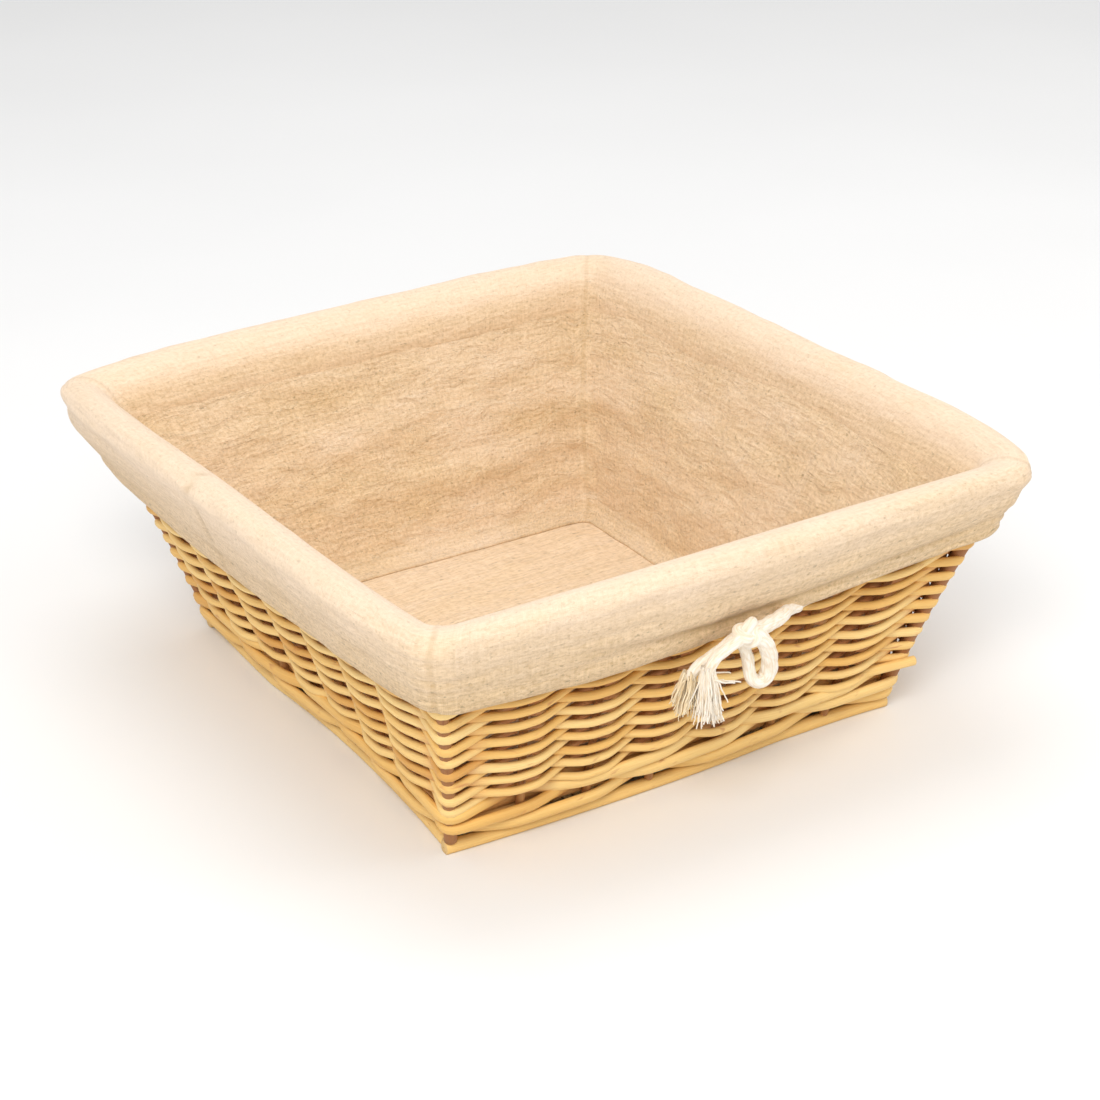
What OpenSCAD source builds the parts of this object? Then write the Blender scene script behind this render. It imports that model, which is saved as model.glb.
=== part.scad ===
// Square-sided wicker bread basket with a tied cotton liner.
// Millimetres. +Z is up, the origin is on the floor at the middle of the basket.
// The tied drawstring is on the front, towards -Y. Left is -X.
// Walls are numbered 0 front, 1 right, 2 back, 3 left.

/* [Basket] */
// Width between the side walls' middle surfaces at the floor
base_w = 263.4; // [250:0.2:280]
// Depth between the front and back walls' middle surfaces at the floor
base_d = 264; // [250:0.2:280]
// Width between the side walls' middle surfaces at the rim rods
rim_w = 330.4; // [315:0.2:345]
// Depth between the front and back walls' middle surfaces at the rim rods
rim_d = 380.4; // [360:0.2:395]
// Height at which the rim sizes are taken
rim_z = 140; // [138:1:142]

/* [Wicker] */
// Diameter of an upright stake
stake_d = 4.5; // [4:0.1:4.6]
// Diameter of the four corner posts
post_d = 4.9; // [4.5:0.1:5]
// Stakes on the front and on the back, an even number
front_stakes = 6; // [4:2:8]
// Stakes on the left and on the right, an odd number
side_stakes = 7; // [5:2:9]
// Thickness of a wall weaver through the wall
weaver_t = 3.8; // [3.4:0.1:3.9]
// Height from one weaver to the next
row_pitch = 4.32; // [4.2:0.02:4.4]
// Weavers one above another in a wall
rows = 25; // [20:1:25]
// Height of the underside of the lowest wall weaver
first_row = 28; // [27:0.5:29]
// Thickness of the three-rod wale at the foot of the wall
wale_t = 4.2; // [3.8:0.1:4.2]
// Diameter of the thick rods around the bottom
foot_d = 7; // [6:0.1:7]
// Depth of the flat worn on the underside of the thick bottom rods
foot_flat = 0.3; // [0.2:0.1:0.6]
// How far the front and back bottom rods stick out past the corners
foot_end = 9; // [4:0.5:12]
// Diameter of the three border rods
border_d = 5.6; // [5:0.1:5.6]
// Diameter of a base stick
stick_d = 5.5; // [5:0.1:5.6]
// Base sticks, an odd number
sticks = 7; // [5:2:7]
// Width of a base weaver
base_weaver_w = 6.2; // [5:0.1:6.4]

/* [Liner] */
// Thickness of the cloth solids
cloth_t = 2; // [1.6:0.1:2.2]
// Distance from the wall's middle surface to the liner's outer side
liner_gap = 7.2; // [7.1:0.1:7.4]
// Height of the fold over the rim
crest_z = 150; // [150:0.5:152]
// Height of the hem of the turned-down edge
hem_z = 94.2; // [90:0.1:96]

/* [Drawstring] */
// Diameter of the cord inside its casing
run_d = 5; // [4:0.1:5]
// Diameter of the cord outside
cord_d = 7; // [6:0.1:7]
// Diameter of a loose tail
tail_d = 5.6; // [5:0.1:5.8]

/* [Hidden] */
$fn = 32;
willow = [0.84, 0.68, 0.42];
willow_dark = [0.76, 0.58, 0.33];
cotton = [0.95, 0.87, 0.75];
white = [0.97, 0.95, 0.90];

// flare of each pair of walls, in millimetres outward for each millimetre up
kx = (rim_w - base_w) / 2 / rim_z;
ky = (rim_d - base_d) / 2 / rim_z;
tilt = [atan(ky), atan(kx), atan(ky), atan(kx)];
count = [front_stakes, side_stakes, front_stakes, side_stakes];
// place of each wall's first corner in the ring of stakes
ring = [0, front_stakes + 1, front_stakes + side_stakes + 2, 2 * front_stakes + side_stakes + 3];

// distance of wall i from the middle at height z, and half of its length there
function away(i, z) = i % 2 == 0 ? base_d / 2 + ky * z : base_w / 2 + kx * z;
function reach(i, z) = i % 2 == 0 ? base_w / 2 + kx * z : base_d / 2 + ky * z;
// how far along the wall stake j stands at height z; 0 and count + 1 are the corners
function along(i, j, z) = (2 * j / (count[i] + 1) - 1) * reach(i, z);

amp = (stake_d + weaver_t) / 2 + 0.15;
corner_amp = (post_d + weaver_t) / 2 + 0.15;
wale_amp = (stake_d + wale_t) / 2 + 0.15;
wale_corner = (post_d + wale_t) / 2 + 0.15;
flat = 5;
stake_low = foot_d + 0.5;
stake_top = rim_z - 3.6;
wale_pitch = 6.4;
foot_z = foot_d / 2 - foot_flat;

// from a wall's own frame to the basket: x along the wall, y outward, z up the slope
module on_wall(i) {
  rotate([0, 0, 90 * i])
    translate([0, -away(i, 0), 0])
      rotate([tilt[i], 0, 0])
        mirror([0, 1, 0])
          children();
}

// the space between the two mitre planes at a wall's corners
module wedge(i) {
  rotate([0, 0, 90 * i])
    polyhedron(
      points = [
        for (z = [-10, 170])
          for (s = [-1, 1])
            for (d = [-60, 60])
              [s * (reach(i, z) + d / cos(tilt[(i + 1) % 4])), -away(i, z) - d / cos(tilt[i]), z]
      ],
      faces = [[0, 1, 3, 2], [4, 6, 7, 5], [0, 4, 5, 1], [2, 3, 7, 6], [0, 2, 6, 4], [1, 5, 7, 3]]
    );
}

// a weaver's outline seen along the stakes; side(j) is +1 in front of stake j and -1 behind it
module weaver(i, z, t, a, ca, sides) {
  n = count[i];
  r = reach(i, z);
  mid = concat(
    [[-r - 14, sides[0] * ca], [-r + flat, sides[0] * ca]],
    [for (j = [1:n]) for (e = [-flat, flat]) [along(i, j, z) + e, sides[j] * a]],
    [[r - flat, sides[n + 1] * ca], [r + 14, sides[n + 1] * ca]]
  );
  m = len(mid);
  polygon(concat(
    [for (k = [0:m - 1]) mid[k] + [0, t / 2]],
    [for (k = [m - 1:-1:0]) mid[k] - [0, t / 2]]
  ));
}

module weave(i) {
  color(willow)
    intersection() {
      union() {
        for (r = [0:rows - 1]) {
          z = first_row + r * row_pitch;
          start = (ring[i] + r) % 2 == 0 ? 1 : -1;
          sides = [for (j = [0:count[i] + 1]) j % 2 == 0 ? start : -start];
          on_wall(i)
            translate([0, 0, z / cos(tilt[i])])
              linear_extrude(height = row_pitch / cos(tilt[i]) - 0.25)
                weaver(i, z + row_pitch / 2, weaver_t, amp, corner_amp, sides);
        }
      }
      wedge(i);
    }
}

module wale(i) {
  color(willow_dark)
    intersection() {
      union() {
        for (r = [0:2]) {
          z = foot_d + 1 + r * wale_pitch;
          sides = [for (j = [0:count[i] + 1]) (ring[i] + j + r) % 3 == 0 ? -1 : 1];
          on_wall(i)
            translate([0, 0, z / cos(tilt[i])])
              linear_extrude(height = (wale_pitch - 0.4) / cos(tilt[i]))
                weaver(i, z + wale_pitch / 2, wale_t, wale_amp, wale_corner, sides);
        }
      }
      wedge(i);
    }
}

module stakes(i) {
  color(willow_dark)
    for (j = [1:count[i]]) {
      f = 2 * j / (count[i] + 1) - 1;
      lean = atan(f * (i % 2 == 0 ? kx : ky) * cos(tilt[i]));
      on_wall(i)
        translate([along(i, j, stake_low), 0, stake_low / cos(tilt[i])])
          rotate([0, lean, 0])
            cylinder(h = (stake_top - stake_low) / cos(tilt[i]) / cos(lean), d = stake_d);
    }
}

// sx and sy say which corner
module post(sx, sy) {
  side = sqrt(kx * kx + ky * ky);
  color(willow_dark)
    translate([sx * (base_w / 2 + kx * stake_low), sy * (base_d / 2 + ky * stake_low), stake_low])
      rotate([0, 0, atan2(sy * ky, sx * kx)])
        rotate([0, atan(side), 0])
          cylinder(h = (stake_top - stake_low) * sqrt(1 + side * side), d = post_d);
}

module border(i) {
  color(willow)
    intersection() {
      for (p = [[3.4, -0.6], [-3.4, -0.6], [0, 4.4]]) {
        on_wall(i)
          translate([0, p[0], (rim_z + p[1]) / cos(tilt[i])])
            rotate([0, 90, 0])
              cylinder(h = 2 * reach(i, rim_z) + 40, d = border_d, center = true);
      }
      wedge(i);
    }
}

// a thick rod along x with its underside worn flat
module foot_rod(length) {
  difference() {
    translate([0, 0, foot_z])
      rotate([0, 90, 0])
        cylinder(h = length, d = foot_d, center = true);
    translate([-length, -foot_d, -foot_d])
      cube([2 * length, 2 * foot_d, foot_d]);
  }
}

// flush at its left end, and standing out past the corner at its right end
module foot_rod_front() {
  color(willow)
    translate([(foot_end - foot_d / 2) / 2, -away(0, foot_z), 0])
      foot_rod(2 * reach(0, foot_z) + foot_end + foot_d / 2);
}

module foot_rod_back() {
  color(willow)
    translate([0, away(0, foot_z), 0])
      foot_rod(2 * reach(0, foot_z) + 2 * foot_end);
}

module foot_rod_side(s) {
  color(willow)
    translate([s * reach(0, foot_z), 0, 0])
      rotate([0, 0, 90])
        foot_rod(2 * away(0, foot_z) - foot_d - 0.4);
}

stick_z = foot_z + foot_flat + 3.1;
stick_step = 2 * away(0, 0) / (sticks + 0.3);

module base_sticks() {
  color(willow_dark)
    for (j = [0:sticks - 1]) {
      translate([0, (j - (sticks - 1) / 2) * stick_step, stick_z])
        rotate([0, 90, 0])
          cylinder(h = 2 * reach(0, 0) - foot_d - 2, d = stick_d, center = true);
    }
}

module base_weave() {
  a = (stick_d + 2.6) / 2 + 0.15;
  pitch = base_weaver_w + 0.4;
  n = floor((2 * reach(0, 0) - foot_d - 2) / pitch);
  end = away(0, 0) - foot_d / 2 - 0.5;
  color(willow)
    for (r = [0:n - 1]) {
      way = r % 2 == 0 ? 1 : -1;
      mid = concat(
        [[-end, 0]],
        [for (j = [0:sticks - 1]) for (e = [-4, 4])
          [(j - (sticks - 1) / 2) * stick_step + e, (j % 2 == 0 ? way : -way) * a]],
        [[end, 0]]
      );
      m = len(mid);
      translate([(r - (n - 1) / 2) * pitch + base_weaver_w / 2, 0, stick_z])
        rotate([90, 0, 90])
          mirror([0, 0, 1])
            linear_extrude(height = base_weaver_w)
              polygon(concat(
                [for (k = [0:m - 1]) mid[k] + [0, 1.3]],
                [for (k = [m - 1:-1:0]) mid[k] - [0, 1.3]]
              ));
    }
}

// a point at offset o outward from the middle surface of wall i, at height z
function off(i, p) = [away(i, p[1]) + p[0] / cos(tilt[i]), p[1]];

// a section of the wall, drawn in offset and height, along the whole wall
module section_along(i) {
  intersection() {
    rotate([0, 0, 90 * i])
      mirror([0, 1, 0])
        rotate([90, 0, 90])
          linear_extrude(height = 2 * reach(i, crest_z) + 60, center = true)
            children();
    wedge(i);
  }
}

lin = -liner_gap;
wall_foot = stick_z + stick_d / 2 + 3.2;
wall_head = rim_z - 6;

module liner_wall(i) {
  color(cotton)
    section_along(i)
      polygon([for (p = [
        [lin - cloth_t, wall_foot], [lin, wall_foot],
        [lin, wall_head], [lin - cloth_t, wall_head]
      ]) off(i, p)]);
}

module liner_base() {
  gap = 0.3;
  x = reach(0, wall_foot) - (liner_gap + cloth_t) / cos(tilt[1]) - gap;
  y = away(0, wall_foot) - (liner_gap + cloth_t) / cos(tilt[0]) - gap;
  color(cotton)
    translate([-x, -y, wall_foot])
      cube([2 * x, 2 * y, cloth_t]);
}

roll_r = liner_gap + cloth_t + 0.6;
roll_z = crest_z - roll_r;
inner_r = roll_r - cloth_t;
run_z = 101.5;
run_o = 10.6;

cuff_out = concat(
  [[lin - cloth_t, wall_head + 0.1], [-roll_r + 0.2, wall_head + 3]],
  [for (a = [180:-15:0]) [roll_r * cos(a), roll_z + roll_r * sin(a)]],
  [[10.6, 131], [12.2, 118], [13.9, 109], [14.7, 102], [13.6, 97.5], [10.8, hem_z + 0.4],
    [7.6, hem_z], [6.9, hem_z + 1], [6.9, 106], [9.8, 112.5], [10.7, 118], [8.9, 131]],
  [for (a = [0:15:180]) [inner_r * cos(a), roll_z + inner_r * sin(a)]],
  [[lin, wall_head + 0.1]]
);
channel = [[7.9, 98], [11.9, 97.7], [13.2, 100], [13.3, 104], [12.5, 108.5], [9.7, 108.8], [7.9, 105]];

module cuff(i) {
  color(cotton)
    section_along(i)
      difference() {
        polygon([for (p = cuff_out) off(i, p)]);
        polygon([for (p = channel) off(i, p)]);
      }
}

// the two eyelets that the drawstring leaves by, in the casing's outer layer
module cuff_front() {
  color(cotton)
    difference() {
      cuff(0);
      for (e = [[15.5, 21], [-3.5, 9]])
        translate([e[0], -197, 97])
          cube([e[1], 10, 9.6]);
    }
}

module run_piece(i, from, to) {
  intersection() {
    on_wall(i)
      translate([from, run_o, run_z / cos(tilt[i]) + run_o * tan(tilt[i])])
        rotate([0, 90, 0])
          cylinder(h = to - from, d = run_d);
    wedge(i);
  }
}

module drawstring_in_casing() {
  color(white) {
    run_piece(0, -reach(0, crest_z) - 20, -2);
    run_piece(0, 37, reach(0, crest_z) + 20);
    for (i = [1:3])
      run_piece(i, -reach(i, crest_z) - 20, reach(i, crest_z) + 20);
  }
}

// a round cord through hand-placed points [x, y, z, radius], as one closed skin
function unit(v) = v / norm(v);
function path_dir(p, k) =
  unit([for (c = [0:2]) p[min(k + 1, len(p) - 1)][c] - p[max(k - 1, 0)][c]]);
// the ring's first axis is carried from point to point without twist
function carry(p, k) =
  k == 0
    ? unit(cross(path_dir(p, 0), abs(path_dir(p, 0)[2]) > 0.8 ? [1, 0, 0] : [0, 0, 1]))
    : let (u = carry(p, k - 1), d = path_dir(p, k)) unit(u - d * (u * d));
module cord(p, sides = 10) {
  n = len(p);
  polyhedron(
    points = [
      for (k = [0:n - 1])
        let (d = path_dir(p, k), u = carry(p, k), w = cross(d, u))
          for (s = [0:sides - 1])
            [p[k][0], p[k][1], p[k][2]]
              + p[k][3] * (cos(360 * s / sides) * u + sin(360 * s / sides) * w)
    ],
    faces = concat(
      [[for (s = [0:sides - 1]) s]],
      [for (k = [0:n - 2]) for (s = [0:sides - 1])
        [k * sides + s, (k + 1) * sides + s, (k + 1) * sides + (s + 1) % sides, k * sides + (s + 1) % sides]],
      [[for (s = [sides - 1:-1:0]) (n - 1) * sides + s]]
    )
  );
}

knot_at = [-4, -201.5, 106.5];
r1 = cord_d / 2;
r2 = tail_d / 2;
lead_right = [
  [36.5, -185.6, 101.5, 2.3], [31, -187.2, 101.6, 2.4], [26, -190.5, 102.2, 2.9],
  [20, -195, 103, 3.4], [12, -198, 104, r1], [3, -200.8, 105.6, r1]
];
lead_left = [
  [2, -185.6, 101.5, 2.3], [1.4, -188.4, 101.7, 2.5], [-0.4, -192, 102.6, 2.9],
  [-2.6, -196, 104, 3.2], [-4.6, -199.4, 105.4, r1]
];
loop = [
  [0, -203, 105, r1], [4, -203, 100.8, r1], [7.2, -202, 95.5, r1], [9.4, -200.8, 90, r1],
  [10.6, -199.4, 84.5, r1], [10.4, -198.2, 79.5, r1], [7.8, -197.3, 76.4, r1],
  [4.2, -196.8, 76.8, r1], [1.6, -196.4, 80, r1], [1, -196, 84.5, r1], [0.2, -196, 89.5, r1],
  [-1.8, -196.8, 95, r1], [-4.2, -198, 99.5, r1], [-6, -199.5, 103, r1]
];
tail_a = [
  [-8, -203.5, 105.6, r2], [-13, -203.4, 104.5, r2], [-18, -202.6, 102, r2],
  [-22.4, -201.4, 98.2, r2], [-24.8, -200.2, 93.5, r2], [-25.5, -199.6, 89.5, r2]
];
tail_b = [
  [-8, -197.5, 103.5, r2], [-13, -195.8, 100, r2], [-18.8, -194.6, 96.5, r2],
  [-24.8, -193.8, 93.6, r2], [-29.5, -193.2, 90, r2], [-31.4, -192.8, 86.5, r2]
];

module drawstring_lead_left() {
  color(white) cord(lead_left);
}

module drawstring_lead_right() {
  color(white) cord(lead_right);
}

module drawstring_loop() {
  color(white) cord(loop);
}

module drawstring_tail_a() {
  color(white) cord(tail_a);
}

module drawstring_tail_b() {
  color(white) cord(tail_b);
}

// the overhand knot: one turn of cord round a round core
module drawstring_knot() {
  color(white)
    translate(knot_at)
      union() {
        sphere(r = 5.6);
        rotate([0, 68, 14])
          rotate_extrude()
            translate([4.4, 0, 0])
              circle(d = cord_d);
      }
}

module tassel_a() {
  color(white)
    translate([-25.5, -199.5, 89.3])
      rotate([180, 0, 0])
        cylinder(h = 31, r1 = 3.6, r2 = 6.2);
}

module tassel_b() {
  color(white)
    translate([-31.4, -192.7, 86.3])
      rotate([180, 12, 0])
        cylinder(h = 19, r1 = 3, r2 = 5.2);
}

foot_rod_front();
foot_rod_side(1);  // foot_rod_right
foot_rod_back();
foot_rod_side(-1);  // foot_rod_left
base_sticks();
base_weave();
post(-1, -1);  // post_front_left
post(1, -1);  // post_front_right
post(1, 1);  // post_back_right
post(-1, 1);  // post_back_left
stakes(0);  // stakes_front
stakes(1);  // stakes_right
stakes(2);  // stakes_back
stakes(3);  // stakes_left
wale(0);  // wale_front
wale(1);  // wale_right
wale(2);  // wale_back
wale(3);  // wale_left
weave(0);  // weave_front
weave(1);  // weave_right
weave(2);  // weave_back
weave(3);  // weave_left
border(0);  // border_front
border(1);  // border_right
border(2);  // border_back
border(3);  // border_left
liner_base();
liner_wall(0);  // liner_wall_front
liner_wall(1);  // liner_wall_right
liner_wall(2);  // liner_wall_back
liner_wall(3);  // liner_wall_left
cuff_front();
cuff(1);  // cuff_right
cuff(2);  // cuff_back
cuff(3);  // cuff_left
drawstring_in_casing();
drawstring_lead_left();
drawstring_lead_right();
drawstring_knot();
drawstring_loop();
drawstring_tail_a();
drawstring_tail_b();
tassel_a();
tassel_b();
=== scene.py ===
import math
import bpy
import numpy as np
from mathutils import Matrix, Vector


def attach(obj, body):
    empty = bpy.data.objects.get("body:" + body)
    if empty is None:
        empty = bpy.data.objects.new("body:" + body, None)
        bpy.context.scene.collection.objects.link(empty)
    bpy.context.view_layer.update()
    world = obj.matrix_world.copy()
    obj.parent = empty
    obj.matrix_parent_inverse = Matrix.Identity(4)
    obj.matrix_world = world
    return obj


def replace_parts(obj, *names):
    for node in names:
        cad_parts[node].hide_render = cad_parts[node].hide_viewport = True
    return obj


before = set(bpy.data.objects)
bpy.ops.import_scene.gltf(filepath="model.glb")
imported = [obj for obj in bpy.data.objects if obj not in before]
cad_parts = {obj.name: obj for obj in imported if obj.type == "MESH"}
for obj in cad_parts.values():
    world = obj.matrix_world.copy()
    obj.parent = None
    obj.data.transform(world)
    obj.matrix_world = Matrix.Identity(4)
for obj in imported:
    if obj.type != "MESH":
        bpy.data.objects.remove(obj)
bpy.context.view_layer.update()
MM = 0.001
scene = bpy.context.scene

# ------------------------ the basket's measures, in millimetres
# Walls are numbered 0 front, 1 right, 2 back, 3 left. A place on a wall is s along it and d from the
# basket's middle. A crossing is where a rod going round meets a corner post or a stake.
WALLS = ["front", "right", "back", "left"]
KX, KY = 0.2392857, 0.4157143        # flare of the side walls and of the front and back walls
AX, AY = 131.7, 132.0                # half of the base, at the middle of the walls
TILT = [math.atan(KY), math.atan(KX)] * 2
TURN = [(1, 0), (0, 1), (-1, 0), (0, -1)]
STAKES = [6, 7, 6, 7]
CROSSINGS = 30
RING = [0, 7, 15, 22, CROSSINGS]     # the crossing at each wall's first corner, and the end of the round
WOVEN_TOP = 140.0                    # where the woven walls end, under the border
WALE_ROWS, WEAVE_ROWS = 3, 25
WEAVE_FOOT, WEAVE_PITCH, WEAVE_HIGH = 28.0, 4.32, 108
STAKE_FOOT, STAKE_TOP = 7.5, 136.4
STICKS, STICK_GAP, STICK_Z, STICK_END = 7, 36.16, 6.6, 127.0
BASE_ROWS, BASE_PITCH, BASE_END = 38, 6.6, 127.8
FOOT_Z, FOOT_R = 3.2, 3.5
BORDER_Z, BORDER_R, BORDER_CORNER = 139.4, 2.8, 10.0
CUT_BOTH = (True, True)
UP = [0, 0, 1.0]


def away(i, z):
    return AY + KY * z if i % 2 == 0 else AX + KX * z


def half(i, z):
    return AX + KX * z if i % 2 == 0 else AY + KY * z


def on_wall(i, s, d, z):
    """x, y, z of a point s along wall i, d from the middle of the basket."""
    c, n = TURN[i]
    return [s * c + d * n, s * n - d * c, z]


def outward(i):
    c, n = TURN[i]
    a = math.cos(TILT[i])
    return np.array([n * a, -c * a, -math.sin(TILT[i])])


def held(x):
    return np.clip(x, 0, 1)


def turned(degrees):
    return math.cos(math.radians(degrees)), math.sin(math.radians(degrees))


def unit(v):
    return v / np.maximum(np.linalg.norm(v, axis=-1, keepdims=True), 1e-9)


def every(direction, p):
    """One direction for all points of a path."""
    return np.tile(direction, (len(p), 1))


def wave(x, y, seed=0, around=None):
    """Smooth noise from -1 to 1; around makes it repeat after that many cells in x."""
    x, y = np.broadcast_arrays(np.asarray(x, float), np.asarray(y, float))
    xi, yi = np.floor(x).astype(np.int64), np.floor(y).astype(np.int64)
    fx, fy = x - xi, y - yi

    def corner(a, b):
        """A fixed random value for a cell's corner, by an integer hash."""
        if around:
            a = a % around
        n = (a * 374761393 + b * 668265263 + seed * 144269504) & 0xFFFFFFFF
        n = ((n ^ (n >> 13)) * 1274126177) & 0xFFFFFFFF
        return ((n ^ (n >> 16)) & 0xFFFF) / 32767.5 - 1

    fx, fy = fx * fx * (3 - 2 * fx), fy * fy * (3 - 2 * fy)
    low = corner(xi, yi) * (1 - fx) + corner(xi + 1, yi) * fx
    high = corner(xi, yi + 1) * (1 - fx) + corner(xi + 1, yi + 1) * fx
    return low * (1 - fy) + high * fy


# ------------------------ hand weaving and use
# How far the base's corners sit out of square, in x and in y: front left, front right, back left, back right.
ASKEW_X = (-0.8, -4.9, 14.5, 5.0)
ASKEW_Y = (-3.4, -6.4, 13.5, 9.0)
LEFT_BOW, FRONT_BOW = 6.0, 4.8       # the base's left edge bows in, its front edge bows out
LEFT_HOLLOW, RIGHT_HOLLOW = 2.0, 5.0
RIGHT_BULGE, LEFT_BULGE, BACK_BULGE = 9.0, 6.0, 4.0
RIGHT_RISE, BACK_RISE, CORNER_DROP = 4.0, 1.0, 3.5


def settle(p):
    """The base sits askew under the rim, its edges are bowed, and the walls bulge at the top."""
    p = np.asarray(p, float)
    x, y, z = p[..., 0], p[..., 1], p[..., 2]
    a, b = np.clip(x / (AX + KX * z), -1.1, 1.1), np.clip(y / (AY + KY * z), -1.1, 1.1)
    up = held(z / WOVEN_TOP)
    low, high = held(1 - z / WOVEN_TOP), up ** 2
    to_right, to_left, to_back, to_front = [held(q) for q in (a, -a, b, -b)]
    left, right, front, back = (1 - a) / 2, (1 + a) / 2, (1 - b) / 2, (1 + b) / 2

    def askew(fl, fr, bl, br):
        return front * (left * fl + right * fr) + back * (left * bl + right * br)

    dx = askew(*ASKEW_X) + LEFT_BOW * to_left ** 2 * held(1 - ((b + 0.35) / 0.75) ** 2)
    dy = askew(*ASKEW_Y) - FRONT_BOW * to_front ** 2 * held(1 - ((a + 0.3) / 0.8) ** 2)
    hollow = np.sin(math.pi * up) * (LEFT_HOLLOW * to_left - RIGHT_HOLLOW * to_right)
    side, end = 1 - held(np.abs(b)) ** 7, 1 - held(np.abs(a)) ** 4
    out_x = (RIGHT_BULGE * to_right ** 2 - LEFT_BULGE * to_left ** 2) * side
    out_y = BACK_BULGE * to_back ** 2 * end
    rise = RIGHT_RISE * to_right ** 2 * side + BACK_RISE * to_back ** 2 * end
    rise = rise - CORNER_DROP * held(left * back) ** 5
    new = (x + dx * low + hollow + out_x * high, y + dy * low ** 1.6 + out_y * high, z + rise * high ** 2)
    return np.stack(new, -1)


# ------------------------ camera
CAMERA_AT = (-0.6635, -1.0844, 0.6636)
CAMERA_BACK, CAMERA_RIGHT = (-0.4803, -0.7686, 0.4226), (0.8427, -0.5379, -0.0206)
CAMERA_LENS = 86.33

cam = bpy.data.objects.new("camera", bpy.data.cameras.new("camera"))
scene.collection.objects.link(cam)
cam.data.sensor_fit = "HORIZONTAL"
cam.data.sensor_width = 36
cam.data.lens = CAMERA_LENS
back = Vector(CAMERA_BACK).normalized()
right = Vector(CAMERA_RIGHT)
right = (right - back * right.dot(back)).normalized()
turn = Matrix((right, back.cross(right), back)).transposed().to_4x4()
cam.matrix_world = Matrix.Translation(CAMERA_AT) @ turn
scene.camera = cam


# ------------------------ materials
def rgb(*levels):
    """A colour from its three levels of 255, as linear light."""
    def linear(c):
        return c / 12.92 if c <= 0.04045 else ((c + 0.055) / 1.055) ** 2.4
    return tuple(linear(c / 255) for c in levels) + (1,)


class Nodes:
    """A few words for wiring a node material."""

    def __init__(self, name, roughness, specular, sheen=None):
        self.material = bpy.data.materials.new(name)
        self.material.use_nodes = True
        self.tree = self.material.node_tree
        self.shader = self.tree.nodes["Principled BSDF"]
        self.wire(self.shader, {"Roughness": roughness, "Specular IOR Level": specular})
        if sheen:
            self.wire(self.shader, {"Sheen Weight": sheen[0], "Sheen Roughness": sheen[1]})

    def wire(self, node, inputs):
        """Links or sets a node's inputs."""
        for key, value in inputs.items():
            if isinstance(value, bpy.types.NodeSocket):
                self.tree.links.new(value, node.inputs[key])
            elif value is not None:
                node.inputs[key].default_value = value

    def node(self, kind, output, inputs, **settings):
        n = self.tree.nodes.new("ShaderNode" + kind)
        for key, value in settings.items():
            setattr(n, key, value)
        self.wire(n, inputs)
        return n.outputs[output]

    def attribute(self, name, output="Fac"):
        return self.node("Attribute", output, {}, attribute_name=name)

    def add(self, a, b, clamp=False):
        return self.node("Math", 0, {0: a, 1: b}, operation="ADD", use_clamp=clamp)

    def times(self, a, b):
        return self.node("Math", 0, {0: a, 1: b}, operation="MULTIPLY")

    def noise(self, vector, scale, shift=(0, 0, 0), detail=2.0, rough=0.5, warp=0.0):
        vector = self.node("Mapping", 0, {"Vector": vector, "Scale": scale, "Location": shift})
        return self.node("TexNoise", "Fac", {
            "Vector": vector, "Scale": 1.0, "Detail": detail, "Roughness": rough, "Distortion": warp})

    def span(self, value, low, high, to_low=0.0, to_high=1.0):
        return self.node("MapRange", "Result", {
            "Value": value, "From Min": low, "From Max": high, "To Min": to_low, "To Max": to_high})

    def ramp(self, value, *stops):
        colour = self.node("ValToRGB", "Color", {"Fac": value})
        e = colour.node.color_ramp.elements
        while len(e) < len(stops):
            e.new(0.5)
        for k, (at, shade) in enumerate(stops):
            e[k].position, e[k].color = at, shade
        return colour

    def mix(self, factor, a, b):
        return self.node("Mix", 2, {0: factor, 6: a, 7: b}, data_type="RGBA", blend_type="MIX")

    def bump(self, height, distance, strength, under=None):
        return self.node("Bump", "Normal", {
            "Distance": distance, "Strength": strength, "Height": height, "Normal": under})

    def finish(self, colour, roughness=None, normal=None):
        self.wire(self.shader, {"Base Color": colour, "Roughness": roughness, "Normal": normal})
        return self.material


def willow(name, pale, middle, dark, recess):
    """Peeled willow: streaks along the rod, a tone for each rod, small knots, and painted shade in the
    recesses.
    """
    k = Nodes(name, 0.5, 0.38)
    g = k.attribute("grain", "Vector")
    streak = k.noise(g, (22, 900, 900), detail=3.0, rough=0.55)
    fibre = k.noise(g, (90, 2600, 2600))
    patch = k.noise(g, (14, 60, 60))
    spot = k.noise(g, (70, 260, 260), warp=0.6)
    tone = k.add(k.times(k.attribute("tone"), 0.55), k.times(patch, 0.3))
    tone = k.add(tone, k.times(streak, 0.3), clamp=True)
    colour = k.ramp(tone, (0.2, dark), (0.5, middle), (0.85, pale))
    colour = k.mix(k.span(fibre, 0.35, 0.75, 0.0, 0.3), colour, dark)
    colour = k.mix(k.span(spot, 0.66, 0.78, 0.0, 0.6), colour, recess)
    # painted shade: deep darkens the rod towards the recess colour where it lies in a recess
    colour = k.mix(k.times(k.attribute("deep"), 0.72), colour, recess)
    height = k.add(k.times(streak, 0.7), k.times(fibre, 0.3))
    return k.finish(colour, k.span(streak, 0.2, 0.8, 0.42, 0.66), k.bump(height, 0.0005, 0.55))


def cut_end(name):
    """The cut face of a rod: pale rings round a dark pith."""
    k = Nodes(name, 0.7, 0.3)
    wood = k.noise(k.attribute("grain", "Vector"), (10, 1600, 1600), detail=3.0, rough=0.6)
    colour = k.ramp(wood, (0.3, rgb(214, 170, 104)), (0.7, rgb(242, 214, 158)))
    colour = k.mix(k.span(k.attribute("core"), 0.7, 0.95, 0.0, 0.8), colour, rgb(120, 76, 40))
    return k.finish(colour, None, k.bump(wood, 0.0004, 0.6))


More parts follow.
